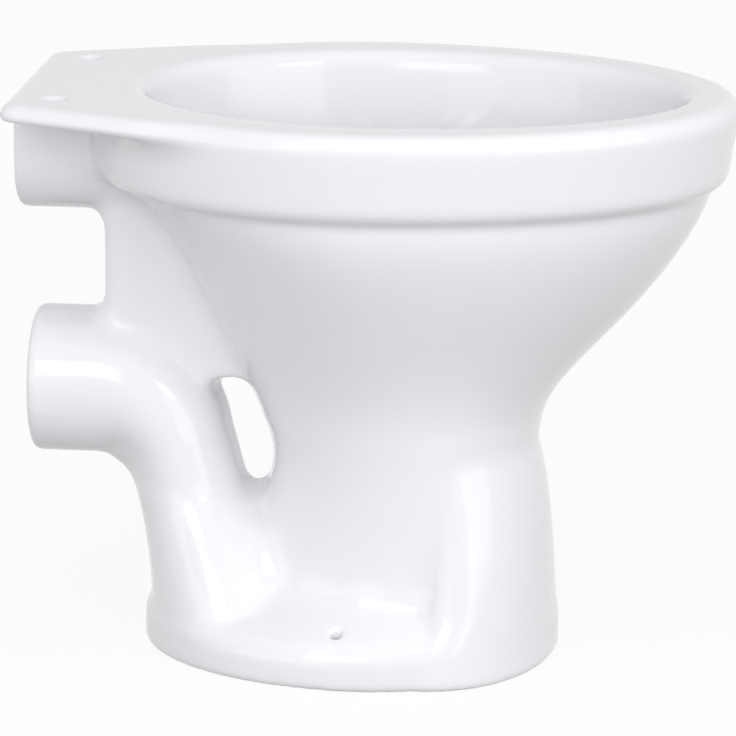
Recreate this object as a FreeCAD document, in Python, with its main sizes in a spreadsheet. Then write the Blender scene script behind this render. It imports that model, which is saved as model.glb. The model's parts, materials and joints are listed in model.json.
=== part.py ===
import FreeCAD, Part
import math
import os
import re

import Sketcher
from FreeCAD import Placement, Rotation, Vector

# Washdown pan, millimetres. X runs across the pan, Y from the front (-) to the wall (+), Z is up.
# The origin lies on the floor, half way along the overall length.
sizes = {
    # overall
    "overall_length": 500,
    "overall_height": 400,
    "china_wall": 10,
    # rim casting: a box rim round the bowl, open below between its outer band and its inner lip
    "rim_half_width": 181,
    "rim_front_reach": 255,
    "rim_setback": 47,
    "rim_depth": 62.5,
    "rim_plate": 13,
    "rim_taper": 7,
    "rim_top_round": 11,
    "rim_low_round": 12,
    "rim_step": 17,
    "rim_back_step": 20,
    "rim_toe": 14,
    "opening_side": 43,
    "opening_front": 37,
    "opening_back": 42,
    "opening_shift": 15,
    "opening_round": 12,
    "lip_wall": 7,
    "lip_lean": 11,
    # seat deck behind the rim
    "deck_half_width": 104,
    "deck_bow_share": 0.735,
    "deck_bow_width": 0.807,
    "deck_root_share": 0.41,
    "deck_root_width": 0.9,
    "deck_setback": 0.5,
    "deck_corner": 16,
    "deck_blend": 150,
    "seat_hole_spacing": 155,
    "seat_hole_setback": 36,
    "seat_hole_radius": 7.5,
    # bowl: levels as shares of the height from neck to rim, half widths, distances from both ends
    "shoulder_share": 0.87,
    "shoulder_half": 161,
    "shoulder_widest": 250,
    "shoulder_front": 25,
    "shoulder_back": 95.5,
    "upper_share": 0.696,
    "upper_half": 148,
    "upper_widest": 242,
    "upper_front": 43,
    "upper_back": 115.5,
    "middle_share": 0.435,
    "middle_half": 124,
    "middle_widest": 232,
    "middle_front": 79.5,
    "middle_back": 136.5,
    "lower_share": 0.203,
    "lower_half": 105,
    "lower_widest": 223,
    "lower_front": 115.5,
    "lower_back": 156.5,
    "neck_height": 165,
    "neck_half": 97,
    "neck_widest": 215,
    "neck_front": 132.5,
    "neck_back": 171.5,
    "neck_ledge": 8,
    # trap: an oval duct that goes down from the bowl, turns up and bends back to the outlet
    "trap_mouth_height": 110,
    "trap_mouth_back": 233.5,
    "trap_half_width": 52,
    "trap_half_depth": 38,
    "sump_turn": 100,
    "sump_radius": 54,
    "riser_lean": 15,
    "bend_radius": 55,
    "outlet_height": 184.5,
    "outlet_radius": 52,
    "outlet_setback": 9.5,
    "outlet_edge": 3,
    # flush inlet under the deck
    "inlet_drop": 53.3,
    "inlet_half_width": 38.5,
    "inlet_bore": 27.5,
    "inlet_bore_depth": 46,
    "inlet_port_width": 46,
    "inlet_port_height": 24,
    "inlet_reach": 110,
    "spreader_width": 52,
    "spreader_gap": 6,
    # strut behind the bowl
    "pillar_half_width": 27,
    "pillar_setback": 60.5,
    "pillar_round": 12,
    "slot_top": 194,
    # pedestal: oval column, heel round the trap, apron at the front and the spread foot
    "waist_height": 130,
    "waist_half": 94,
    "waist_widest": 215,
    "waist_front": 136.5,
    "waist_back": 178,
    "hip_height": 98,
    "hip_half": 93,
    "hip_widest": 215,
    "hip_front": 136.5,
    "hip_back": 169,
    "base_half": 95,
    "base_widest": 215,
    "base_front": 136.5,
    "base_back": 143.5,
    "heel_top": 112,
    "heel_margin": 1.5,
    "heel_height": 85,
    "heel_half": 66,
    "heel_front": 311,
    "heel_back": 86,
    "sole_height": 40,
    "sole_half": 88,
    "sole_front": 288.5,
    "sole_back": 92,
    "apron_line": 206,
    "apron_wall": 22,
    "apron_tail_half": 86,
    "apron_half": 123,
    "apron_front": 117.5,
    "apron_edge": 206,
    "apron_shin_height": 80,
    "apron_shin_half": 110,
    "apron_shin_front": 123,
    "apron_shin_edge": 185,
    "apron_knee_height": 130,
    "apron_knee_half": 98,
    "apron_knee_front": 129.5,
    "apron_knee_edge": 183,
    "apron_top": 157,
    "apron_top_half": 92,
    "apron_top_front": 136,
    "apron_top_edge": 183,
    "foot_widest": 251.5,
    "foot_half": 129,
    "foot_front": 118,
    "foot_back": 87.5,
    "foot_edge": 28,
    "foot_round": 5,
    "ledge_height": 50,
    "foot_hollow": 12,
    "screw_spacing": 222,
    "screw_offset": 13,
    "screw_radius": 4,
    "lug_radius": 13,
}

doc = FreeCAD.newDocument("washdown_pan")
sheet = doc.addObject("Spreadsheet::Sheet", "sizes")
for row, (alias, value) in enumerate(sizes.items(), 1):
    sheet.set(f"A{row}", alias)
    sheet.set(f"B{row}", str(value))
    sheet.setAlias(f"B{row}", alias)
doc.recompute()


def bound(text):
    """Expression text in which every size name points at its cell."""
    return re.sub(r"\b(?!(?:sin|cos|tan)\b)[a-z_]+", lambda word: "sizes." + word.group(), text)


def number(text):
    return float(sheet.evalExpression(bound(text)))


def inset(oval, gap):
    half, widest, front, rear = oval
    return f"{half} - ({gap})", widest, f"{front} + ({gap})", f"{rear} - ({gap})"


def round_oval(centre, half, depth):
    return half, centre, f"{centre} - ({depth})", f"{centre} + ({depth})"


# Ovals are given as half width, line of greatest width, front end and rear end.
front_end = "-overall_length/2"
rear_end = "overall_length/2"
rim_base = "overall_height - rim_depth"
plate_base = "overall_height - rim_plate"
deck_edge = "overall_length/2 - deck_setback"
rim_widest = "rim_front_reach - overall_length/2"
rim_oval = ("rim_half_width", rim_widest, front_end, f"{rear_end} - rim_setback")
opening_oval = (
    "rim_half_width - opening_side",
    f"{rim_widest} - opening_shift",
    f"{front_end} + opening_front",
    f"{rear_end} - rim_setback - opening_back",
)
bowl_top = (
    "rim_half_width - rim_step",
    rim_widest,
    f"{front_end} + rim_step",
    f"{rear_end} - rim_setback - rim_back_step",
)


def egg(name):
    widest, front = f"{front_end} + {name}_widest", f"{front_end} + {name}_front"
    return f"{name}_half", widest, front, f"{rear_end} - {name}_back"


def ellipse(name):
    """Oval that is widest half way between its ends."""
    middle, front = f"({name}_front - {name}_back)/2", f"{front_end} + {name}_front"
    return f"{name}_half", middle, front, f"{rear_end} - {name}_back"


bowl_outside = [(rim_base, bowl_top)]
for name in ("shoulder", "upper", "middle", "lower"):
    bowl_outside.append((f"neck_height + {name}_share*({rim_base} - neck_height)", egg(name)))
neck_oval = egg("neck")
bowl_outside.append(("neck_height", neck_oval))

mouth = f"{rear_end} - trap_mouth_back"
bend_low = "outlet_height - bend_radius + bend_radius*sin(riser_lean)"
bend_end = (
    f"{mouth} + sump_radius + sump_radius*cos(riser_lean) + bend_radius*cos(riser_lean)"
    f" + ({bend_low} - sump_turn + sump_radius*sin(riser_lean))*tan(riser_lean)"
)
bend_start = f"{bend_end} - bend_radius*cos(riser_lean)"
outlet_end = f"{rear_end} - outlet_setback"
inlet_axis = "overall_height - inlet_drop"


def riser_axis(height):
    return f"{bend_start} - ({bend_low} - ({height}))*tan(riser_lean)"


def new_body(label):
    body = doc.addObject("PartDesign::Body", label)
    body.Label = label
    return body


def plane_sketch(body, plane, offset="0"):
    """Sketch on one of the body's origin planes, moved along the plane's normal."""
    sketch = body.newObject("Sketcher::SketchObject", "sketch")
    support = next(feature for feature in body.Origin.OriginFeatures if feature.Role == plane)
    sketch.AttachmentSupport = [(support, "")]
    sketch.MapMode = "FlatFace"
    sketch.setExpression("AttachmentOffset.Base.z", bound(offset))
    return sketch


def dimension(sketch, text, kind, *geometry):
    index = sketch.addConstraint(Sketcher.Constraint(kind, *geometry, number(text)))
    sketch.setExpression(f"Constraints[{index}]", bound(text))


def relate(sketch, kind, *geometry):
    sketch.addConstraint(Sketcher.Constraint(kind, *geometry))


def add_half(sketch, half, widest, reach, start, trim=0):
    """Half ellipse on one side of the line of greatest width, with its length fixed.

    A trim angle takes as much off both of its ends."""
    width, length = number(half), number(reach)
    centre = Vector(0, number(widest), 0)
    across, along = Vector(width, 0, 0), Vector(0, length, 0)
    if length > width:
        ellipse = Part.Ellipse(centre + along, centre - across, centre)
        start -= math.pi / 2
    else:
        ellipse = Part.Ellipse(centre + across, centre + along, centre)
    arc = sketch.addGeometry(Part.ArcOfEllipse(ellipse, start + trim, start + math.pi - trim), False)
    sketch.exposeInternalGeometry(arc)
    axis = arc + 1 if length > width else arc + 2
    relate(sketch, "Vertical", axis)
    dimension(sketch, f"2*({reach})", "Distance", axis)
    return arc


def fix_half(sketch, arc, half, widest):
    relate(sketch, "PointOnObject", arc, 3, -2)
    dimension(sketch, widest, "DistanceY", -1, 1, arc, 3)
    relate(sketch, "Horizontal", arc, 1, arc, 3)
    relate(sketch, "Horizontal", arc, 2, arc, 3)
    dimension(sketch, half, "DistanceX", arc, 3, arc, 2)


def add_oval(sketch, oval):
    """Egg outline of two half ellipses that share the line of greatest width."""
    half, widest, front, rear = oval
    near = add_half(sketch, half, widest, f"({widest}) - ({front})", math.pi)
    far = add_half(sketch, half, widest, f"({rear}) - ({widest})", 0)
    fix_half(sketch, near, half, widest)
    relate(sketch, "Coincident", near, 3, far, 3)
    relate(sketch, "Coincident", near, 1, far, 2)
    relate(sketch, "Coincident", near, 2, far, 1)


def add_bow(sketch, half, widest, front, edge, tail_half, tail):
    """Front of an oval up to a pair of edges, behind which its sides run in to a short chord."""
    reach = f"({widest}) - ({front})"
    trim = math.asin((number(widest) - number(edge)) / number(reach))
    arc = add_half(sketch, half, widest, reach, math.pi, trim)
    cross = arc + 2 if number(reach) > number(half) else arc + 1
    dimension(sketch, f"2*({half})", "Distance", cross)
    relate(sketch, "PointOnObject", arc, 3, -2)
    dimension(sketch, widest, "DistanceY", -1, 1, arc, 3)
    dimension(sketch, edge, "DistanceY", -1, 1, arc, 1)
    dimension(sketch, edge, "DistanceY", -1, 1, arc, 2)
    inner, line = number(tail_half), number(tail)
    left, right = sketch.Geometry[arc].StartPoint, sketch.Geometry[arc].EndPoint
    path = [right, Vector(inner, line, 0), Vector(-inner, line, 0), left]
    side = sketch.GeometryCount
    for start, end in zip(path, path[1:]):
        sketch.addGeometry(Part.LineSegment(start, end), False)
    relate(sketch, "Coincident", arc, 2, side, 1)
    relate(sketch, "Coincident", side, 2, side + 1, 1)
    relate(sketch, "Coincident", side + 1, 2, side + 2, 1)
    relate(sketch, "Coincident", side + 2, 2, arc, 1)
    relate(sketch, "Symmetric", side + 1, 1, side + 1, 2, -2)
    dimension(sketch, tail_half, "DistanceX", -1, 1, side + 1, 1)
    dimension(sketch, tail, "DistanceY", -1, 1, side + 1, 1)


def add_round(sketch, height, radius):
    """Circle on the sketch's vertical axis, in two halves like an oval."""
    ring = Part.Circle(Vector(0, number(height), 0), Vector(0, 0, 1), number(radius))
    low = sketch.addGeometry(Part.ArcOfCircle(ring, math.pi, 2 * math.pi), False)
    high = sketch.addGeometry(Part.ArcOfCircle(ring, 0, math.pi), False)
    relate(sketch, "Coincident", low, 3, high, 3)
    relate(sketch, "PointOnObject", low, 3, -2)
    dimension(sketch, height, "DistanceY", -1, 1, low, 3)
    relate(sketch, "Coincident", low, 1, high, 2)
    relate(sketch, "Coincident", low, 2, high, 1)
    relate(sketch, "Horizontal", low, 1, low, 3)
    relate(sketch, "Horizontal", low, 2, low, 3)
    dimension(sketch, radius, "Radius", low)


def add_circle(sketch, x, y, radius):
    centre = Vector(number(x), number(y), 0)
    circle = sketch.addGeometry(Part.Circle(centre, Vector(0, 0, 1), number(radius)), False)
    dimension(sketch, radius, "Radius", circle)
    if x == "0":
        relate(sketch, "PointOnObject", circle, 3, -2)
    else:
        dimension(sketch, x, "DistanceX", -1, 1, circle, 3)
    dimension(sketch, y, "DistanceY", -1, 1, circle, 3)


def add_polygon(sketch, corners):
    points = [Vector(number(x), number(y), 0) for x, y in corners]
    first = sketch.GeometryCount
    count = len(points)
    for i in range(count):
        sketch.addGeometry(Part.LineSegment(points[i], points[(i + 1) % count]), False)
    for i, (x, y) in enumerate(corners):
        relate(sketch, "Coincident", first + (i - 1) % count, 2, first + i, 1)
        if x == "0":
            relate(sketch, "PointOnObject", first + i, 1, -2)
        else:
            dimension(sketch, x, "DistanceX", -1, 1, first + i, 1)
        dimension(sketch, y, "DistanceY", -1, 1, first + i, 1)


def oval_sketch(body, height, *ovals):
    sketch = plane_sketch(body, "XY_Plane", height)
    for oval in ovals:
        add_oval(sketch, oval)
    return sketch


def extrude(body, kind, sketch, length, up=True):
    feature = body.newObject("PartDesign::" + kind, kind.lower())
    feature.Profile = sketch
    feature.setExpression("Length", bound(length))
    feature.Reversed = up != (kind == "Pad")
    doc.recompute()
    return feature


def loft(body, kind, sections, ruled=False):
    sketches = [oval_sketch(body, height, oval) for height, oval in sections]
    feature = body.newObject("PartDesign::" + kind, kind.lower())
    feature.Profile = sketches[0]
    feature.Sections = sketches[1:]
    feature.Ruled = ruled
    doc.recompute()
    return feature


def round_edges(body, radius, chosen):
    tip = body.Tip
    names = [f"Edge{i}" for i, edge in enumerate(tip.Shape.Edges, 1) if chosen(edge)]
    feature = body.newObject("PartDesign::Fillet", "fillet")
    feature.Base = (tip, names)
    feature.setExpression("Radius", bound(radius))
    doc.recompute()
    return feature


def is_level(edge, height):
    return abs(edge.BoundBox.ZMin - height) < 1e-3 and abs(edge.BoundBox.ZMax - height) < 1e-3


def is_upright(edge):
    box = edge.BoundBox
    return box.XLength < 1e-3 and box.YLength < 1e-3


def sweep(body, kind, spine, profile, sections=()):
    feature = body.newObject("PartDesign::" + kind, kind.lower())
    feature.Profile = profile
    feature.Spine = (spine, [f"Edge{i + 1}" for i in range(len(spine.Shape.Edges))])
    if sections:
        feature.Transformation = "Multisection"
        feature.Sections = list(sections)
    doc.recompute()
    return feature


def limb_spine(body):
    """Axis of the trap: down from the bowl, round the sump and up the leaning riser."""
    sketch = plane_sketch(body, "YZ_Plane")
    lean, radius = math.radians(number("riser_lean")), number("sump_radius")
    top = Vector(number(mouth), number("trap_mouth_height"), 0)
    turn = Vector(top.x, number("sump_turn"), 0)
    centre = turn + Vector(radius, 0, 0)
    rise = centre + Vector(math.cos(lean), -math.sin(lean), 0) * radius
    end = Vector(number(bend_start), number(bend_low), 0)
    bow = Part.Circle(centre, Vector(0, 0, 1), radius)
    sketch.addGeometry(Part.LineSegment(top, turn), False)
    sketch.addGeometry(Part.ArcOfCircle(bow, math.pi, 2 * math.pi - lean), False)
    sketch.addGeometry(Part.LineSegment(rise, end), False)
    dimension(sketch, mouth, "DistanceX", -1, 1, 0, 1)
    dimension(sketch, "trap_mouth_height", "DistanceY", -1, 1, 0, 1)
    relate(sketch, "Vertical", 0)
    dimension(sketch, "sump_turn", "DistanceY", -1, 1, 0, 2)
    relate(sketch, "Tangent", 0, 2, 1, 1)
    dimension(sketch, "sump_radius", "Radius", 1)
    relate(sketch, "Tangent", 1, 2, 2, 1)
    dimension(sketch, bend_low, "DistanceY", -1, 1, 2, 2)
    dimension(sketch, bend_start, "DistanceX", -1, 1, 2, 2)
    doc.recompute()
    return sketch


def sweep_limb(body, kind, gap="0"):
    oval = inset(round_oval(mouth, "trap_half_width", "trap_half_depth"), gap)
    profile = oval_sketch(body, "trap_mouth_height", oval)
    return sweep(body, kind, limb_spine(body), profile)


def sweep_bend(body, kind, gap="0"):
    """Quarter bend that opens from the riser's oval to the round outlet."""
    spine = plane_sketch(body, "YZ_Plane")
    lean, radius = math.radians(number("riser_lean")), number("bend_radius")
    centre = Vector(number(bend_end), number("outlet_height") - radius, 0)
    bow = Part.Circle(centre, Vector(0, 0, 1), radius)
    spine.addGeometry(Part.ArcOfCircle(bow, math.pi / 2, math.pi - lean), False)
    dimension(spine, bend_end, "DistanceX", -1, 1, 0, 3)
    dimension(spine, "outlet_height - bend_radius", "DistanceY", -1, 1, 0, 3)
    dimension(spine, "bend_radius", "Radius", 0)
    relate(spine, "Vertical", 0, 1, 0, 3)
    dimension(spine, bend_low, "DistanceY", -1, 1, 0, 2)

    outlet = plane_sketch(body, "XZ_Plane", f"-({bend_end})")
    add_round(outlet, "outlet_height", f"outlet_radius - ({gap})")
    riser = plane_sketch(body, "XY_Plane", bend_low)
    riser.AttachmentOffset = Placement(Vector(), Rotation(Vector(-1, 0, 0), number("riser_lean")))
    riser.setExpression("AttachmentOffset.Base.y", bound(bend_start))
    riser.setExpression("AttachmentOffset.Rotation.Angle", bound("riser_lean"))
    add_oval(riser, inset(round_oval("0", "trap_half_width", "trap_half_depth"), gap))
    doc.recompute()
    return sweep(body, kind, spine, outlet, [riser])


def inlet_outline(body):
    """U-shaped end of the flush inlet: a half round below, straight sides up to the deck."""
    sketch = plane_sketch(body, "XZ_Plane", f"-({rear_end})")
    half, axis, top = number("inlet_half_width"), number(inlet_axis), number(plate_base)
    bow = Part.Circle(Vector(0, axis, 0), Vector(0, 0, 1), half)
    sketch.addGeometry(Part.ArcOfCircle(bow, math.pi, 2 * math.pi), False)
    sketch.addGeometry(Part.LineSegment(Vector(half, axis, 0), Vector(half, top, 0)), False)
    sketch.addGeometry(Part.LineSegment(Vector(half, top, 0), Vector(-half, top, 0)), False)
    sketch.addGeometry(Part.LineSegment(Vector(-half, top, 0), Vector(-half, axis, 0)), False)
    relate(sketch, "Tangent", 0, 2, 1, 1)
    relate(sketch, "Coincident", 1, 2, 2, 1)
    relate(sketch, "Coincident", 2, 2, 3, 1)
    relate(sketch, "Tangent", 3, 2, 0, 1)
    relate(sketch, "Vertical", 1)
    relate(sketch, "Vertical", 3)
    relate(sketch, "Horizontal", 2)
    relate(sketch, "PointOnObject", 0, 3, -2)
    dimension(sketch, "inlet_half_width", "Radius", 0)
    dimension(sketch, inlet_axis, "DistanceY", -1, 1, 0, 3)
    dimension(sketch, plate_base, "DistanceY", -1, 1, 1, 2)
    return sketch


# Rim casting: top plate and deck, then the outer band, its toe on the bowl and the inner lip.
rim = new_body("rim")
extrude(rim, "Pad", oval_sketch(rim, plate_base, rim_oval), "rim_plate")
deck = plane_sketch(rim, "XY_Plane", plate_base)
rim_rear_half = f"({rim_oval[3]} - ({rim_widest}))"
deck_root = f"{rim_widest} + deck_root_share*{rim_rear_half}"
deck_bow = f"{rim_widest} + deck_bow_share*{rim_rear_half}"
add_polygon(deck, [
    ("deck_half_width", deck_edge),
    ("-deck_half_width", deck_edge),
    ("-rim_half_width*deck_bow_width", deck_bow),
    ("-rim_half_width*deck_root_width", deck_root),
    ("rim_half_width*deck_root_width", deck_root),
    ("rim_half_width*deck_bow_width", deck_bow),
])
extrude(rim, "Pad", deck, "rim_plate")
corner_line = number(deck_edge) - number("deck_corner")
round_edges(rim, "deck_corner", lambda edge: is_upright(edge) and edge.BoundBox.YMin > corner_line)
deck_line = number(deck_root)
round_edges(
    rim, "deck_blend",
    lambda edge: is_upright(edge) and deck_line < edge.BoundBox.YMin < number(rim_oval[3]) - 20,
)
round_edges(rim, "rim_top_round", lambda edge: is_level(edge, number("overall_height")))
band_foot = inset(rim_oval, "rim_taper")
loft(rim, "AdditiveLoft", [(plate_base, rim_oval), (rim_base, band_foot)])
round_edges(rim, "rim_low_round", lambda edge: is_level(edge, number(rim_base)))
toe_top = f"{rim_base} + rim_toe"
toe_oval = inset(bowl_top, "china_wall")
lip_oval = inset(opening_oval, "-lip_wall")
lip_outside = [(plate_base, lip_oval), (rim_base, inset(lip_oval, "lip_lean"))]
channel_height = "rim_depth - rim_plate - rim_toe"
extrude(rim, "Pocket", oval_sketch(rim, rim_base, toe_oval), "rim_toe")
extrude(rim, "Pocket", oval_sketch(rim, toe_top, inset(band_foot, "china_wall")), channel_height)
loft(rim, "AdditiveLoft", lip_outside)
opening_foot = inset(opening_oval, "lip_lean")
loft(rim, "SubtractiveLoft", [("overall_height", opening_oval), (rim_base, opening_foot)])
round_edges(
    rim, "opening_round",
    lambda edge: is_level(edge, number("overall_height"))
    and edge.BoundBox.YMax < number(opening_oval[3]) + 1,
)
seat_holes = plane_sketch(rim, "XY_Plane", plate_base)
hole_line = f"{deck_edge} - seat_hole_setback"
for side in ("-", ""):
    add_circle(seat_holes, f"{side}seat_hole_spacing/2", hole_line, "seat_hole_radius")
extrude(rim, "Pocket", seat_holes, "rim_plate")
port = plane_sketch(rim, "XZ_Plane", f"-({rim_oval[3]})")
port_top = f"{toe_top} + inlet_port_height"
add_polygon(port, [
    ("-inlet_port_width/2", toe_top),
    ("inlet_port_width/2", toe_top),
    ("inlet_port_width/2", port_top),
    ("-inlet_port_width/2", port_top),
])
extrude(rim, "Pocket", port, "2*china_wall")

# Bowl: funnel with a ledge at the neck for the pedestal and a throat down to the trap.
bowl = new_body("bowl")
loft(bowl, "AdditiveLoft", bowl_outside)
mouth_oval = round_oval(mouth, "trap_half_width", "trap_half_depth")
throat_top = inset(neck_oval, "china_wall + neck_ledge")
throat = [("neck_height", throat_top), ("trap_mouth_height", mouth_oval)]
throat_inside = [(height, inset(oval, "china_wall")) for height, oval in throat]
bowl_inside = [(height, inset(oval, "china_wall")) for height, oval in bowl_outside[:-1]]
loft(bowl, "AdditiveLoft", throat)
loft(bowl, "SubtractiveLoft", bowl_inside + throat_inside[:1])
loft(bowl, "SubtractiveLoft", throat_inside)

# Trap limb, outlet bend and outlet spigot, each a hollow duct.
trap_sump = new_body("trap_sump")
sweep_limb(trap_sump, "AdditivePipe")
sweep_limb(trap_sump, "SubtractivePipe", "china_wall")

outlet_bend = new_body("outlet_bend")
sweep_bend(outlet_bend, "AdditivePipe")
sweep_bend(outlet_bend, "SubtractivePipe", "china_wall")

outlet_spigot = new_body("outlet_spigot")
ring = plane_sketch(outlet_spigot, "XZ_Plane", f"-({outlet_end})")
add_circle(ring, "0", "outlet_height", "outlet_radius")
add_circle(ring, "0", "outlet_height", "outlet_radius - china_wall")
extrude(outlet_spigot, "Pad", ring, f"{outlet_end} - ({bend_end})")
spigot_end = number(outlet_end)
round_edges(outlet_spigot, "outlet_edge", lambda edge: edge.BoundBox.YMin > spigot_end - 1e-3)

# Flush inlet: from the wall end to the rim's band, and under the rim to the bowl.
flush_inlet = new_body("flush_inlet")
extrude(flush_inlet, "Pad", inlet_outline(flush_inlet), "inlet_reach")
extrude(flush_inlet, "Pocket", oval_sketch(flush_inlet, rim_base, rim_oval), "rim_depth")
loft(flush_inlet, "SubtractiveLoft", bowl_outside)
bore = plane_sketch(flush_inlet, "XZ_Plane", f"-({rear_end})")
add_circle(bore, "0", inlet_axis, "inlet_bore")
extrude(flush_inlet, "Pocket", bore, "inlet_bore_depth")

# Wedge in the rim channel that parts the flush to both sides.
flush_spreader = new_body("flush_spreader")
wedge = plane_sketch(flush_spreader, "XY_Plane", toe_top)
add_polygon(wedge, [
    ("0", f"{band_foot[3]} - china_wall - spreader_gap"),
    ("-spreader_width/2", f"{lip_oval[3]} - lip_lean - spreader_gap"),
    ("spreader_width/2", f"{lip_oval[3]} - lip_lean - spreader_gap"),
])
extrude(flush_spreader, "Pad", wedge, channel_height)
loft(flush_spreader, "SubtractiveLoft", lip_outside)

# Strut between the inlet, the back of the bowl and the outlet bend.
back_pillar = new_body("back_pillar")
side_view = plane_sketch(back_pillar, "YZ_Plane", "-pillar_half_width")
pillar_back = f"{rear_end} - pillar_setback"
add_polygon(side_view, [
    (pillar_back, "outlet_height"),
    (pillar_back, rim_base),
    (f"{rear_end} - upper_back - china_wall", rim_base),
    (f"{rear_end} - lower_back - china_wall", "slot_top"),
    (f"{bend_start} - trap_half_depth/2", "slot_top"),
])
extrude(back_pillar, "Pad", side_view, "2*pillar_half_width")
back_line = number(pillar_back)
round_edges(
    back_pillar, "pillar_round",
    lambda edge: is_upright(edge) and edge.BoundBox.YMin > back_line - 1e-3,
)
extrude(back_pillar, "Pocket", inlet_outline(back_pillar), "inlet_reach")
loft(back_pillar, "SubtractiveLoft", bowl_outside)
sweep_bend(back_pillar, "SubtractivePipe")

# Pedestal: spread foot, column, heel round the trap and apron, all hollow and open below.
foot_oval = egg("foot")
base_oval = egg("base")
column = [
    ("neck_height", neck_oval),
    ("waist_height", egg("waist")),
    ("hip_height", egg("hip")),
    ("0", base_oval),
]
heel_cap = round_oval(
    riser_axis("heel_top"),
    "trap_half_width + heel_margin",
    "trap_half_depth/cos(riser_lean) + heel_margin",
)
heel = [
    ("heel_top", heel_cap),
    ("heel_height", ellipse("heel")),
    ("sole_height", ellipse("sole")),
    ("0", ellipse("sole")),
]
shell = new_body("pedestal_shell")
extrude(shell, "Pad", oval_sketch(shell, "0", foot_oval), "foot_edge")
loft(shell, "AdditiveLoft", [("foot_edge", foot_oval), ("ledge_height", base_oval)])
round_edges(shell, "foot_round", lambda edge: is_level(edge, number("foot_edge")))
loft(shell, "AdditiveLoft", column)
loft(shell, "AdditiveLoft", heel)
apron_levels = {
    "apron": "0",
    "apron_shin": "apron_shin_height",
    "apron_knee": "apron_knee_height",
    "apron_top": "apron_top",
}
apron_widest = f"{front_end} + apron_line"
apron = []
for name, height in apron_levels.items():
    sketch = plane_sketch(shell, "XY_Plane", height)
    toe_line, edge = f"{front_end} + {name}_front", f"{front_end} + {name}_edge"
    add_bow(sketch, f"{name}_half", apron_widest, toe_line, edge, "apron_tail_half", f"{edge} + apron_wall")
    apron.append(sketch)
front_face = shell.newObject("PartDesign::AdditiveLoft", "apron")
front_face.Profile = apron[0]
front_face.Sections = apron[1:]
doc.recompute()
loft(shell, "SubtractiveLoft", [(height, inset(oval, "china_wall")) for height, oval in column])
loft(shell, "SubtractiveLoft", [(height, inset(oval, "china_wall")) for height, oval in heel])
sweep_limb(shell, "SubtractivePipe")
screw_holes = plane_sketch(shell, "XY_Plane")
screw_line = f"{front_end} + foot_widest + screw_offset"
for side in ("-", ""):
    add_circle(screw_holes, f"{side}screw_spacing/2", screw_line, "screw_radius")
extrude(shell, "Pocket", screw_holes, "ledge_height")

foot_core = new_body("foot_core")
loft(foot_core, "AdditiveLoft", [
    ("0", inset(foot_oval, "china_wall")),
    ("foot_hollow", inset(foot_oval, "china_wall")),
    ("ledge_height - china_wall", inset(base_oval, "china_wall")),
], ruled=True)
pedestal = doc.addObject("Part::Cut", "pedestal")
pedestal.Base = shell
pedestal.Tool = foot_core

# Two bosses under the ledge that carry the floor screws.
posts = []
for side in ("-", ""):
    post, drill = (doc.addObject("Part::Cylinder", name) for name in ("post", "drill"))
    for cylinder, radius in ((post, "lug_radius"), (drill, "screw_radius")):
        cylinder.setExpression("Radius", bound(radius))
        cylinder.setExpression("Height", bound("ledge_height"))
        cylinder.setExpression("Placement.Base.x", bound(f"{side}screw_spacing/2"))
        cylinder.setExpression("Placement.Base.y", bound(screw_line))
    bored = doc.addObject("Part::Cut", "bored")
    bored.Base = post
    bored.Tool = drill
    posts.append(bored)
pair = doc.addObject("Part::Compound", "pair")
pair.Links = posts
fixing_lugs = doc.addObject("Part::Common", "fixing_lugs")
fixing_lugs.Base = pair
fixing_lugs.Tool = foot_core

doc.recompute()
nodes = [rim, bowl, trap_sump, outlet_bend, outlet_spigot]
nodes += [flush_inlet, flush_spreader, back_pillar, pedestal, fixing_lugs]
for item in doc.Objects:
    if "Invalid" in item.State or "Error" in item.State:
        raise RuntimeError(f"{item.Label} does not build")
os.makedirs("parts", exist_ok=True)
for node in nodes:
    if node.Shape.isNull() or not node.Shape.isValid():
        raise RuntimeError(f"{node.Label} has no valid shape")
    node.Shape.exportStep(f"parts/{node.Label}.step")
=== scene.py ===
import json
import math
from functools import reduce

import bpy
import numpy as np
import openvdb
from mathutils import Matrix, Vector


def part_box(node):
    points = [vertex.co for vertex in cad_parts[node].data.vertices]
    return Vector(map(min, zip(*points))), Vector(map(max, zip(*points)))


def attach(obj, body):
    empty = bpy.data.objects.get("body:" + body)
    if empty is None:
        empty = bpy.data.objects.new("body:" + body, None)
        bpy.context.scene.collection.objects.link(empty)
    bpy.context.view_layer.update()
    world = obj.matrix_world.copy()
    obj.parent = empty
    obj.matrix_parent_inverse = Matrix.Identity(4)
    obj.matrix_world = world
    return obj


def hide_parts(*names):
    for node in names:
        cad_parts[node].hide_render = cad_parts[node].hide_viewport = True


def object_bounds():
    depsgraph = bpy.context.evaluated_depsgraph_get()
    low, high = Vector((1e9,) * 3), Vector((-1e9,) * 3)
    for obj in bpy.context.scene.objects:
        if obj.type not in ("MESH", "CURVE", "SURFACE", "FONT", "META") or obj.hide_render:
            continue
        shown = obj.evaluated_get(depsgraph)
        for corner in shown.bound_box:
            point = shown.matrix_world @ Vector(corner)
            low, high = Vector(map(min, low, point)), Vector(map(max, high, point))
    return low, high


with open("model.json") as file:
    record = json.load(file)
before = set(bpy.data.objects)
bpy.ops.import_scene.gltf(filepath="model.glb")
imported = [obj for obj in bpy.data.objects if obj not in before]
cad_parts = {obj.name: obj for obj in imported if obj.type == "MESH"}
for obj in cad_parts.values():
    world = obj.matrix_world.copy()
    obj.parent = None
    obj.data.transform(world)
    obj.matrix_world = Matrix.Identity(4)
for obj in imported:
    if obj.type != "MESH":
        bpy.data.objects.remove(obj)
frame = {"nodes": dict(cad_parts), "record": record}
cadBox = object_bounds()
print("frame:", len(frame["nodes"]), "castings")

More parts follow.
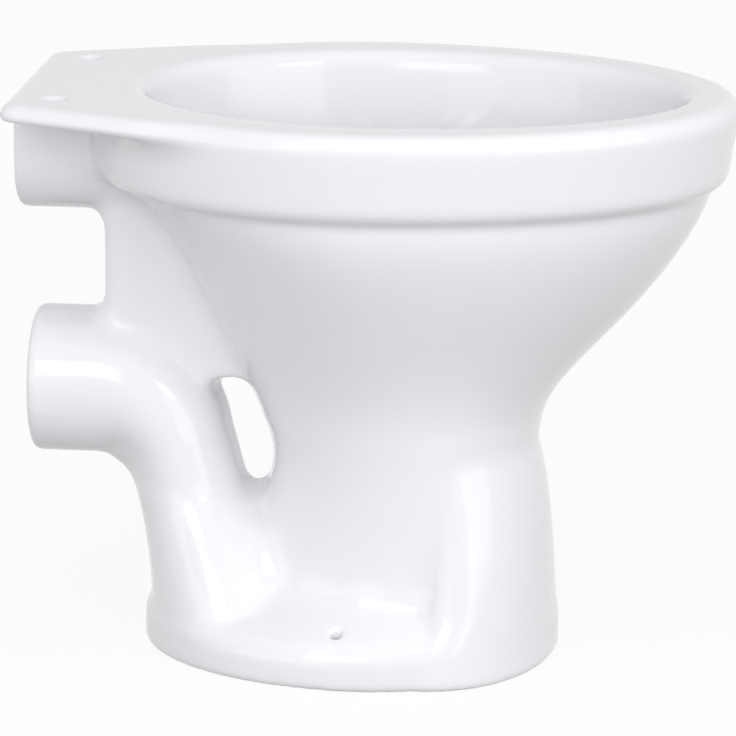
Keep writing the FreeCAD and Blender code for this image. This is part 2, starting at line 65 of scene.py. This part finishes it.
# The pan is fired as one piece of china. Its castings are run together here as distance fields:
# each inner corner gets the round of a ball that fits into it, each outer edge a small round, and
# the smooth skin that comes out is parted again into one closed piece for each casting.
# Lengths are in metres.
glaze = {
    "voxel": 0.002,  # spacing of the grid that holds the distances
    "band": 3,  # grid steps that are kept to each side of a surface
    "margin": 4,  # grid steps of room beyond what is measured
    "ball": 0.004,  # fits into every inner corner that isn't in the list of soft places
    "reach": 0.42,  # how far a ball stays out of a square corner, as a share of its radius
    "edge": 0.002,  # round of the outer edges
    "holeEdge": 0.003,  # round at the mouths of the bolt holes
    "evening": 2,  # times that the skin is evened out over its nearest grid points
    "fade": 0.018,  # width over which one ball gives way to another
    "overlap": 0.006,  # how far a piece runs on under its neighbour
    "tuck": 0.0009,  # how deep it has dipped at its end, so that only one of the two shows
    "thinning": 0.0005,  # how far faces of one patch may lean apart before the patch is parted
    "mostTriangles": 190000,  # a piece with more is thinned further
    "drawing": 2,  # times that the points of a piece are drawn onto the skin
}

# Places where the castings were joined wet and sponged round: the ball that fits there, and the
# lowest and highest corner of the place.
softPlaces = {
    "under the outlet": (0.013, (-0.10, 0.150, 0.085), (0.10, 0.235, 0.165)),
    "beside the strut": (0.013, (-0.14, 0.060, 0.195), (0.14, 0.205, 0.350)),
    "beside the inlet": (0.013, (-0.14, 0.140, 0.310), (0.14, 0.275, 0.400)),
    "along the ledge": (0.018, (-0.16, -0.240, 0.030), (0.16, 0.190, 0.085)),
    "at the neck": (0.013, (-0.14, -0.160, 0.130), (0.14, 0.060, 0.190)),
    "over the heel": (0.030, (-0.12, 0.010, 0.050), (0.12, 0.140, 0.100)),
    "behind the apron": (0.030, (-0.16, -0.110, 0.045), (0.16, 0.020, 0.180)),
    "up the riser": (0.030, (-0.12, 0.112, 0.075), (0.12, 0.200, 0.155)),
    "under the deck": (0.022, (-0.20, 0.085, 0.335), (0.20, 0.180, 0.410)),
    "round the slot": (0.009, (-0.08, 0.035, 0.090), (0.08, 0.140, 0.215)),
}

# Outer edges sponged round in the same way: the round, and the corners of the place.
softEdges = {
    "edge of the ledge": (0.018, (-0.16, -0.300, -0.040), (0.16, 0.300, 0.085)),
    "back edges of the apron": (0.025, (-0.16, -0.120, 0.020), (0.16, 0.030, 0.185)),
}

# Bolt holes, by the mount that names them: lowest and highest point of the cut.
boltHoles = {
    "floor_screws": (-0.01, 0.08),
    "seat_bolts": (0.37, 0.41),
}

# Pieces of china, and the nodes that each one shows.
castings = {
    "china_rim": ("rim", "flush_spreader"),
    "china_bowl": ("bowl",),
    "china_trap": ("trap_sump",),
    "china_bend": ("outlet_bend",),
    "china_spigot": ("outlet_spigot",),
    "china_inlet": ("flush_inlet",),
    "china_strut": ("back_pillar",),
    "china_pedestal": ("pedestal", "fixing_lugs"),
}

mm = 0.001
tiny = 1e-9  # stands in for a length of nought
voxel = glaze["voxel"] * 1
band = glaze["band"] * voxel
margin = glaze["margin"] * voxel
largestBall = max(place[0] for place in (*softPlaces.values(), *softEdges.values()))
lowest = np.floor((np.array(cadBox[0]) - largestBall - margin) / voxel).astype(int)
highest = np.ceil((np.array(cadBox[1]) + largestBall + margin) / voxel).astype(int)
cells = highest - lowest + 1
grid = openvdb.createLinearTransform(voxelSize=voxel)
axes = [(lowest[i] + np.arange(cells[i], dtype=np.float32)) * voxel for i in range(3)]
gridX, gridY, _ = np.ix_(*axes)


def nodeMesh(name):
    mesh = frame["nodes"][name].data
    mesh.calc_loop_triangles()
    points = np.empty(len(mesh.vertices) * 3, np.float32)
    corners = np.empty(len(mesh.loop_triangles) * 3, np.int32)
    mesh.vertices.foreach_get("co", points)
    mesh.loop_triangles.foreach_get("vertices", corners)
    return points.reshape(-1, 3), corners.reshape(-1, 3).astype(np.uint32)


# Block of the grid round a box, with some room: its first grid point, its size and its place in
# a field.
def blockRound(low, high, room):
    first = np.maximum(np.floor((np.array(low) - room) / voxel).astype(int), lowest)
    last = np.minimum(np.ceil((np.array(high) + room) / voxel).astype(int), highest)
    place = tuple(slice(start, end) for start, end in zip(first - lowest, last - lowest + 1))
    return first, last - first + 1, place


# Distance from each grid point to a closed mesh: plus outside, minus inside, level beyond the two
# bands.
def distanceField(points, faces, outside, inside, corner=lowest, size=cells):
    corners = {"triangles" if faces.shape[1] == 3 else "quads": faces}
    bands = {"exBandWidth": outside / voxel, "inBandWidth": inside / voxel}
    level = openvdb.FloatGrid.createLevelSetFromPolygons(points, transform=grid, **corners, **bands)
    field = np.empty(size, np.float32)
    level.copyToArray(field, ijk=tuple(corner.tolist()))
    return field


# Grid that holds a field, whose first value is at that corner, near the surface of that height.
def levelOf(field, height=0.0, corner=lowest):
    level = openvdb.FloatGrid(band)
    level.transform = grid
    level.copyFromArray(np.clip(field - height, -band, band), ijk=tuple(corner.tolist()))
    return level


# Distances measured afresh from the surface of that height in a field.
def measured(field, height, outside, inside, corner=lowest, size=cells):
    points, quads = levelOf(field, height, corner).convertToQuads()
    return distanceField(points, quads, outside, inside, corner, size)


# Inner corners filled by a ball: grow by its radius, measure afresh, shrink by as much.
def rollBall(field, radius, corner=lowest, size=cells):
    inside = radius + glaze["edge"] + margin
    return measured(field, radius, margin, inside, corner, size) + radius


# Outer edges rounded: shrink by the radius, measure afresh, grow by as much.
def roundEdges(field, radius, corner=lowest, size=cells):
    return measured(field, -radius, radius + margin, margin, corner, size) - radius


# The same form without its hollows: full from wall to wall across the pan, and down through the
# floor from the first layer that is clear of the foot's own round.
def fullForm(field):
    fromLeft = np.minimum.accumulate(field, axis=0)
    fromRight = np.minimum.accumulate(field[::-1], axis=0)[::-1]
    full = np.maximum(fromLeft, fromRight)
    foot = np.searchsorted(axes[2], 2 * glaze["edge"])
    full[:, :, :foot] = full[:, :, foot:foot + 1]
    return full


# Field evened out: half of each value and a quarter of its two neighbours, along each axis in turn.
def evenOut(field):
    for axis in range(3):
        field = field / 2 + (np.roll(field, 1, axis) + np.roll(field, -1, axis)) / 4
    return field


# One in the middle of the box and nought outside. The step at each face is the square of the way
# through the fade, times three less twice that way.
def boxWeight(low, high, place):
    weight = 1.0
    spans = np.ix_(*(axis[span] for axis, span in zip(axes, place)))
    for axis, lowEnd, highEnd in zip(spans, low, high):
        depth = np.clip(np.minimum(axis - lowEnd, highEnd - axis) / glaze["fade"], 0, 1)
        weight = weight * depth * depth * (3 - 2 * depth)
    return weight


# Greater of two fields, with a round where they cross: a quarter of the radius is added there,
# and less by the square as the two part.
def roundMax(first, second, radius):
    nearness = np.maximum(radius - np.abs(first - second), 0) / radius
    return np.maximum(first, second) + nearness * nearness * radius / 4


# A pair of upright holes cut through the skin, at the place and of the size that the mount gives.
def cutHoles(field, mount, low, high):
    place, dims = mount["pos_m"], mount["dims"]
    layers = slice(*np.searchsorted(axes[2], (low, high)))
    fromMiddle = np.abs(gridX - place[0]) - dims["spacing_x_mm"] * mm / 2
    hole = dims["hole_r_mm"] * mm - np.hypot(fromMiddle, gridY - place[1])
    field[:, :, layers] = roundMax(field[:, :, layers], hole, glaze["holeEdge"])


# Value of the field between its grid points, straight along each axis.
def sample(field, points, corner=lowest):
    place = points / voxel - corner
    base = np.clip(np.floor(place).astype(int), 0, np.array(field.shape) - 2)
    part = place - base
    value = np.zeros(len(points))
    for step in np.ndindex(2, 2, 2):
        weight = np.where(step, part, 1 - part).prod(axis=1)
        value += weight * field[tuple((base + step).T)]
    return value


# Direction in which the field rises, from its values one grid step to each side.
def slope(field, points, corner=lowest):
    steps = voxel * np.eye(3)
    ahead = np.stack([sample(field, points + step, corner) for step in steps], axis=1)
    behind = np.stack([sample(field, points - step, corner) for step in steps], axis=1)
    rise = ahead - behind
    return rise / np.maximum(np.linalg.norm(rise, axis=1, keepdims=True), tiny)


nodeBand = glaze["reach"] * largestBall + margin
nodeFields = {name: distanceField(*nodeMesh(name), nodeBand, nodeBand) for name in frame["nodes"]}
skin = rollBall(reduce(np.minimum, nodeFields.values()), glaze["ball"])
for radius, low, high in sorted(softPlaces.values()):
    corner, size, place = blockRound(low, high, 2 * (radius + margin))
    sharp = measured(skin[place], 0.0, radius + margin, glaze["edge"] + margin, corner, size)
    rounded = rollBall(sharp, radius, corner, size)
    skin[place] += boxWeight(low, high, place) * (rounded - skin[place])
skin = roundEdges(skin, glaze["edge"])
full = fullForm(skin)
for radius, low, high in softEdges.values():
    corner, size, place = blockRound(low, high, 2 * (radius + margin))
    sharp = measured(full[place], 0.0, margin, radius + margin, corner, size)
    rounded = np.maximum(skin[place], roundEdges(sharp, radius, corner, size))
    skin[place] += boxWeight(low, high, place) * (rounded - skin[place])
for _ in range(glaze["evening"]):
    skin = evenOut(skin)
for mount in frame["record"]["mounts"]:
    if mount["name"] in boltHoles:
        cutHoles(skin, mount, *boltHoles[mount["name"]])
print("skin: grid of", cells.tolist(), "points")


def newMesh(name, points, triangles, quads, normals):
    corners = np.concatenate([triangles.ravel(), quads.ravel()]).astype(np.int32)
    sides = np.repeat([3, 4], [len(triangles), len(quads)])
    mesh = bpy.data.meshes.new(name)
    mesh.vertices.add(len(points))
    mesh.vertices.foreach_set("co", points.astype(np.float32).ravel())
    mesh.loops.add(len(corners))
    mesh.loops.foreach_set("vertex_index", corners)
    mesh.polygons.add(len(sides))
    mesh.polygons.foreach_set("loop_start", (np.cumsum(sides) - sides).astype(np.int32))
    mesh.update(calc_edges=True)
    mesh.shade_smooth()
    mesh.normals_split_custom_set_from_vertices(normals)
    return mesh


# Polygons of a surface, with twice the thinning each time that there are too many.
def thinPolygons(level):
    thinning = glaze["thinning"]
    points, triangles, quads = level.convertToPolygons(adaptivity=thinning)
    while len(triangles) + 2 * len(quads) > glaze["mostTriangles"]:
        thinning *= 2
        points, triangles, quads = level.convertToPolygons(adaptivity=thinning)
    return points.astype(float), triangles, quads


# Faces turned round if most of them look away from their normals.
def facingOut(points, triangles, quads, normals):
    first, second, third = (points[quads[:, i]] for i in (0, 1, 2))
    facing = np.cross(second - first, third - first)
    if np.einsum("ij,ij->i", facing, normals[quads[:, 0]]).sum() < 0:
        return triangles[:, ::-1], quads[:, ::-1]
    return triangles, quads


# Part of the skin nearest to the named castings. Beyond its seam, half way to the next casting, it
# dips under the neighbour's skin by the square of the way, and is closed inside the wall.
def castingPiece(name, members):
    boxes = np.array([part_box(node) for node in members])
    corner, _, place = blockRound(boxes[:, 0].min(axis=0), boxes[:, 1].max(axis=0), largestBall)
    own = reduce(np.minimum, [nodeFields[node][place] for node in members])
    others = [field[place] for node, field in nodeFields.items() if node not in members]
    beyond = (own - reduce(np.minimum, others)) / 2
    dipped = skin[place] + glaze["tuck"] * (np.maximum(beyond, 0) / glaze["overlap"]) ** 2
    part = np.maximum(dipped, beyond - glaze["overlap"])
    points, triangles, quads = thinPolygons(levelOf(part, 0.0, corner))
    for _ in range(glaze["drawing"]):  # only points that lie near the skin move
        height = sample(dipped, points, corner)
        short = sample(beyond, points, corner) < glaze["overlap"] - voxel
        onSkin = (np.abs(height) < voxel / 2) & short
        points[onSkin] -= height[onSkin, None] * slope(dipped, points[onSkin], corner)
    normals = slope(part, points, corner)
    normals[onSkin] = slope(skin, points[onSkin])
    points = np.clip(points, *cadBox)
    triangles, quads = facingOut(points, triangles, quads, normals)
    piece = bpy.data.objects.new(name, newMesh(name, points, triangles, quads, normals))
    bpy.context.scene.collection.objects.link(piece)
    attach(piece, "root")
    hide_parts(*members)
    return piece


# Triangles in a mesh: each face has two fewer than it has corners.
def triangleCount(mesh):
    return len(mesh.loops) - 2 * len(mesh.polygons)


pieces = [castingPiece(name, members) for name, members in castings.items()]
print("pieces:", {piece.name: triangleCount(piece.data) for piece in pieces})


# Linear light from an sRGB colour: straight near black, and a power above.
def linear(hexColour):
    srgb = np.array([int(hexColour[i:i + 2], 16) for i in (1, 3, 5)]) / 255
    rgb = np.where(srgb <= 0.04045, srgb / 12.92, ((srgb + 0.055) / 1.055) ** 2.4)
    return (*rgb.tolist(), 1.0)


def addNode(tree, kind, values=None, links=None, **settings):
    node = tree.nodes.new(kind)
    for key, value in settings.items():
        setattr(node, key, value)
    for key, value in (values or {}).items():
        node.inputs[key].default_value = value
    for key, socket in (links or {}).items():
        tree.links.new(socket, node.inputs[key])
    return node


def newMaterial(name):
    material = bpy.data.materials.new(name)
    material.use_nodes = True
    material.node_tree.nodes.clear()
    return material, material.node_tree


# Glazed vitreous china: a white body under a clear glaze that has run and cooled. The eye gets a
# hard, clean gloss that swims a little, a faint change of white where the glaze is thicker, and a
# matt foot ring.
chinaLook = {
    "thick": "#f2f3f6",  # white where the glaze is thick
    "thin": "#eeeff2",  # white where it is thin
    "bare": "#ddd6ca",  # fired body on the wiped foot ring
    "ior": 1.52,
    "gloss": 0.07,  # roughness of clear glaze
    "dull": 0.13,  # roughness where the glaze is thin
    "bareRough": 0.7,
    "runs": 0.110,  # metres between thick and thin places
    "runDetail": 3.0,
    "waves": 0.050,  # metres from wave to wave of the surface
    "waveDetail": 1.0,
    "waveDepth": 0.0002,
    "ring": 0.0012,  # height of the wiped ring above the floor
}


def glazedChina():
    material, tree = newMaterial("glazed vitreous china")
    place = addNode(tree, "ShaderNodeTexCoord").outputs["Object"]
    runs = addNode(tree, "ShaderNodeTexNoise",
                   {"Scale": 1 / chinaLook["runs"], "Detail": chinaLook["runDetail"]},
                   {"Vector": place}).outputs["Fac"]
    white = addNode(tree, "ShaderNodeMix",
                    {"A": linear(chinaLook["thin"]), "B": linear(chinaLook["thick"])},
                    {"Factor": runs}, data_type="RGBA")
    gloss = addNode(tree, "ShaderNodeMapRange",
                    {"To Min": chinaLook["dull"], "To Max": chinaLook["gloss"]}, {"Value": runs})
    waves = addNode(tree, "ShaderNodeTexNoise",
                    {"Scale": 1 / chinaLook["waves"], "Detail": chinaLook["waveDetail"]},
                    {"Vector": place})
    swim = addNode(tree, "ShaderNodeBump", {"Strength": 1.0, "Distance": chinaLook["waveDepth"]},
                   {"Height": waves.outputs["Fac"]})
    height = addNode(tree, "ShaderNodeSeparateXYZ", links={"Vector": place}).outputs["Z"]
    ring = addNode(tree, "ShaderNodeMapRange",
                   {"From Min": chinaLook["ring"], "From Max": chinaLook["ring"] / 2},
                   {"Value": height}).outputs["Result"]
    colour = addNode(tree, "ShaderNodeMix", {"B": linear(chinaLook["bare"])},
                     {"Factor": ring, "A": white.outputs["Result"]}, data_type="RGBA")
    rough = addNode(tree, "ShaderNodeMix", {"B": chinaLook["bareRough"]},
                    {"Factor": ring, "A": gloss.outputs["Result"]}, data_type="FLOAT")
    surface = addNode(tree, "ShaderNodeBsdfPrincipled", {"IOR": chinaLook["ior"]},
                      {"Base Color": colour.outputs["Result"],
                       "Roughness": rough.outputs["Result"], "Normal": swim.outputs["Normal"]})
    addNode(tree, "ShaderNodeOutputMaterial", links={"Surface": surface.outputs["BSDF"]})
    return material


china = glazedChina()
for piece in pieces:
    piece.data.materials.append(china)
print("materials:", china.name)

studio = {
    "white": "#ffffff",  # background that the camera sees
    "floor": "#a8a8a8",  # grey that the floor throws onto the object
    "floorHalf": 6.0,  # metres from the middle of the floor to its sides
    "floorGlow": 0.90,  # share of plain white in the floor that is seen, the rest holds the shadow
    "skyBright": 1.4,  # light from the bright side
    "skyDim": 0.22,  # light from the other side
    "skyFrom": (-0.87, -0.25, -0.42),  # where the bright side lies
}


# One for rays from the camera, in reflections and through glass, which see the plain white
# background.
def directRays(tree):
    rays = addNode(tree, "ShaderNodeLightPath").outputs
    clear = addNode(tree, "ShaderNodeMath", None,
                    {0: rays["Is Glossy Ray"], 1: rays["Is Transmission Ray"]},
                    operation="MAXIMUM")
    direct = addNode(tree, "ShaderNodeMath", None,
                     {0: rays["Is Camera Ray"], 1: clear.outputs[0]}, operation="MAXIMUM")
    return direct.outputs[0]


def studioFloor():
    half = studio["floorHalf"]
    corners = [(-half, -half, 0), (half, -half, 0), (half, half, 0), (-half, half, 0)]
    mesh = bpy.data.meshes.new("floor")
    mesh.from_pydata(corners, [], [(0, 1, 2, 3)])
    floor = bpy.data.objects.new("floor", mesh)
    bpy.context.scene.collection.objects.link(floor)
    material, tree = newMaterial("matt studio floor")
    direct = directRays(tree)
    colour = addNode(tree, "ShaderNodeMix",
                     {"A": linear(studio["floor"]), "B": linear(studio["white"])},
                     {"Factor": direct}, data_type="RGBA")
    paint = addNode(tree, "ShaderNodeBsdfDiffuse", None, {"Color": colour.outputs["Result"]})
    glow = addNode(tree, "ShaderNodeEmission", {"Strength": 1.0})
    seen = addNode(tree, "ShaderNodeMath", {1: studio["floorGlow"]}, {0: direct},
                   operation="MULTIPLY")
    mixed = addNode(tree, "ShaderNodeMixShader", None,
                    {0: seen.outputs[0], 1: paint.outputs[0], 2: glow.outputs[0]})
    addNode(tree, "ShaderNodeOutputMaterial", links={"Surface": mixed.outputs[0]})
    mesh.materials.append(material)


# The light of the sky goes evenly from dim to bright with the cosine of the angle to the bright
# side.
def studioSky():
    world = bpy.data.worlds.new("studio")
    world.use_nodes = True
    tree = world.node_tree
    tree.nodes.clear()
    toward = addNode(tree, "ShaderNodeTexCoord").outputs["Generated"]
    side = addNode(tree, "ShaderNodeVectorMath", {1: studio["skyFrom"]}, {0: toward},
                   operation="DOT_PRODUCT")
    sky = addNode(tree, "ShaderNodeMapRange",
                  {"From Min": -1.0, "To Min": studio["skyDim"], "To Max": studio["skyBright"]},
                  {"Value": side.outputs["Value"]})
    strength = addNode(tree, "ShaderNodeMix", {"B": 1.0},
                       {"Factor": directRays(tree), "A": sky.outputs["Result"]}, data_type="FLOAT")
    back = addNode(tree, "ShaderNodeBackground", {"Color": linear(studio["white"])},
                   {"Strength": strength.outputs["Result"]})
    addNode(tree, "ShaderNodeOutputWorld", links={"Surface": back.outputs[0]})
    bpy.context.scene.world = world


# Softboxes: where each stands, what it looks at, its size in metres and its power in watts.
softboxes = {
    "key": {
        "at": (-2.25, 0.56, 1.38), "to": (0, 0, 0.2), "size": (1.15, 1.0), "power": 8.0},
    "front": {
        "at": (-1.64, -1.48, 1.58), "to": (0, 0, 0.2), "size": (0.8, 0.5), "power": 4.4},
    "fillLeft": {
        "at": (-2.6, 2.0, 0.65), "to": (0, 0, 0.3), "size": (2.6, 1.25), "power": 9.0},
    "fillRight": {
        "at": (-2.0, -2.7, 0.85), "to": (0, 0, 0.3), "size": (3.0, 1.6), "power": 18.0},
}


def softbox(name, look):
    lamp = bpy.data.lights.new(name, "AREA")
    lamp.shape = "RECTANGLE"
    lamp.size, lamp.size_y = look["size"]
    lamp.energy = look["power"]
    stand = bpy.data.objects.new(name, lamp)
    bpy.context.scene.collection.objects.link(stand)
    stand.location = look["at"]
    aim = Vector(look["to"]) - stand.location
    stand.rotation_euler = aim.to_track_quat("-Z", "Y").to_euler()


# The photograph's view: angles in degrees, lengths in metres, the frame's width in pixels.
camera = {
    "target": (0, 0.0053, 0.1982),
    "distance": 3.266,
    "azimuth": 5.77,
    "elevation": 14.32,
    "roll": 0.5,
    "focalPixels": 4646,
    "framePixels": 736,
    "sensor": 36.0,  # width in millimetres
}


# The camera looks along X, turned by the azimuth and down by the elevation. The roll then turns
# its right and its up about that line.
def photoCamera():
    turn, rise, roll = (math.radians(camera[key]) for key in ("azimuth", "elevation", "roll"))
    level = Vector((math.cos(turn), math.sin(turn), 0))
    ahead = level * math.cos(rise) - Vector((0, 0, math.sin(rise)))
    right = Vector((math.sin(turn), -math.cos(turn), 0))
    up = right.cross(ahead)
    rolledRight = right * math.cos(roll) + up * math.sin(roll)
    rolledUp = up * math.cos(roll) - right * math.sin(roll)
    turned = Matrix((rolledRight, rolledUp, -ahead)).transposed().to_4x4()
    stand = Vector(camera["target"]) - ahead * camera["distance"]
    data = bpy.data.cameras.new("camera")
    data.sensor_width = camera["sensor"]
    data.lens = camera["sensor"] * camera["focalPixels"] / camera["framePixels"]
    view = bpy.data.objects.new("camera", data)
    bpy.context.scene.collection.objects.link(view)
    view.matrix_world = Matrix.Translation(stand) @ turned
    bpy.context.scene.camera = view


studioFloor()
studioSky()
for name, look in softboxes.items():
    softbox(name, look)
photoCamera()
bpy.context.scene.view_settings.view_transform = "Standard"
print("studio:", len(softboxes), "softboxes")
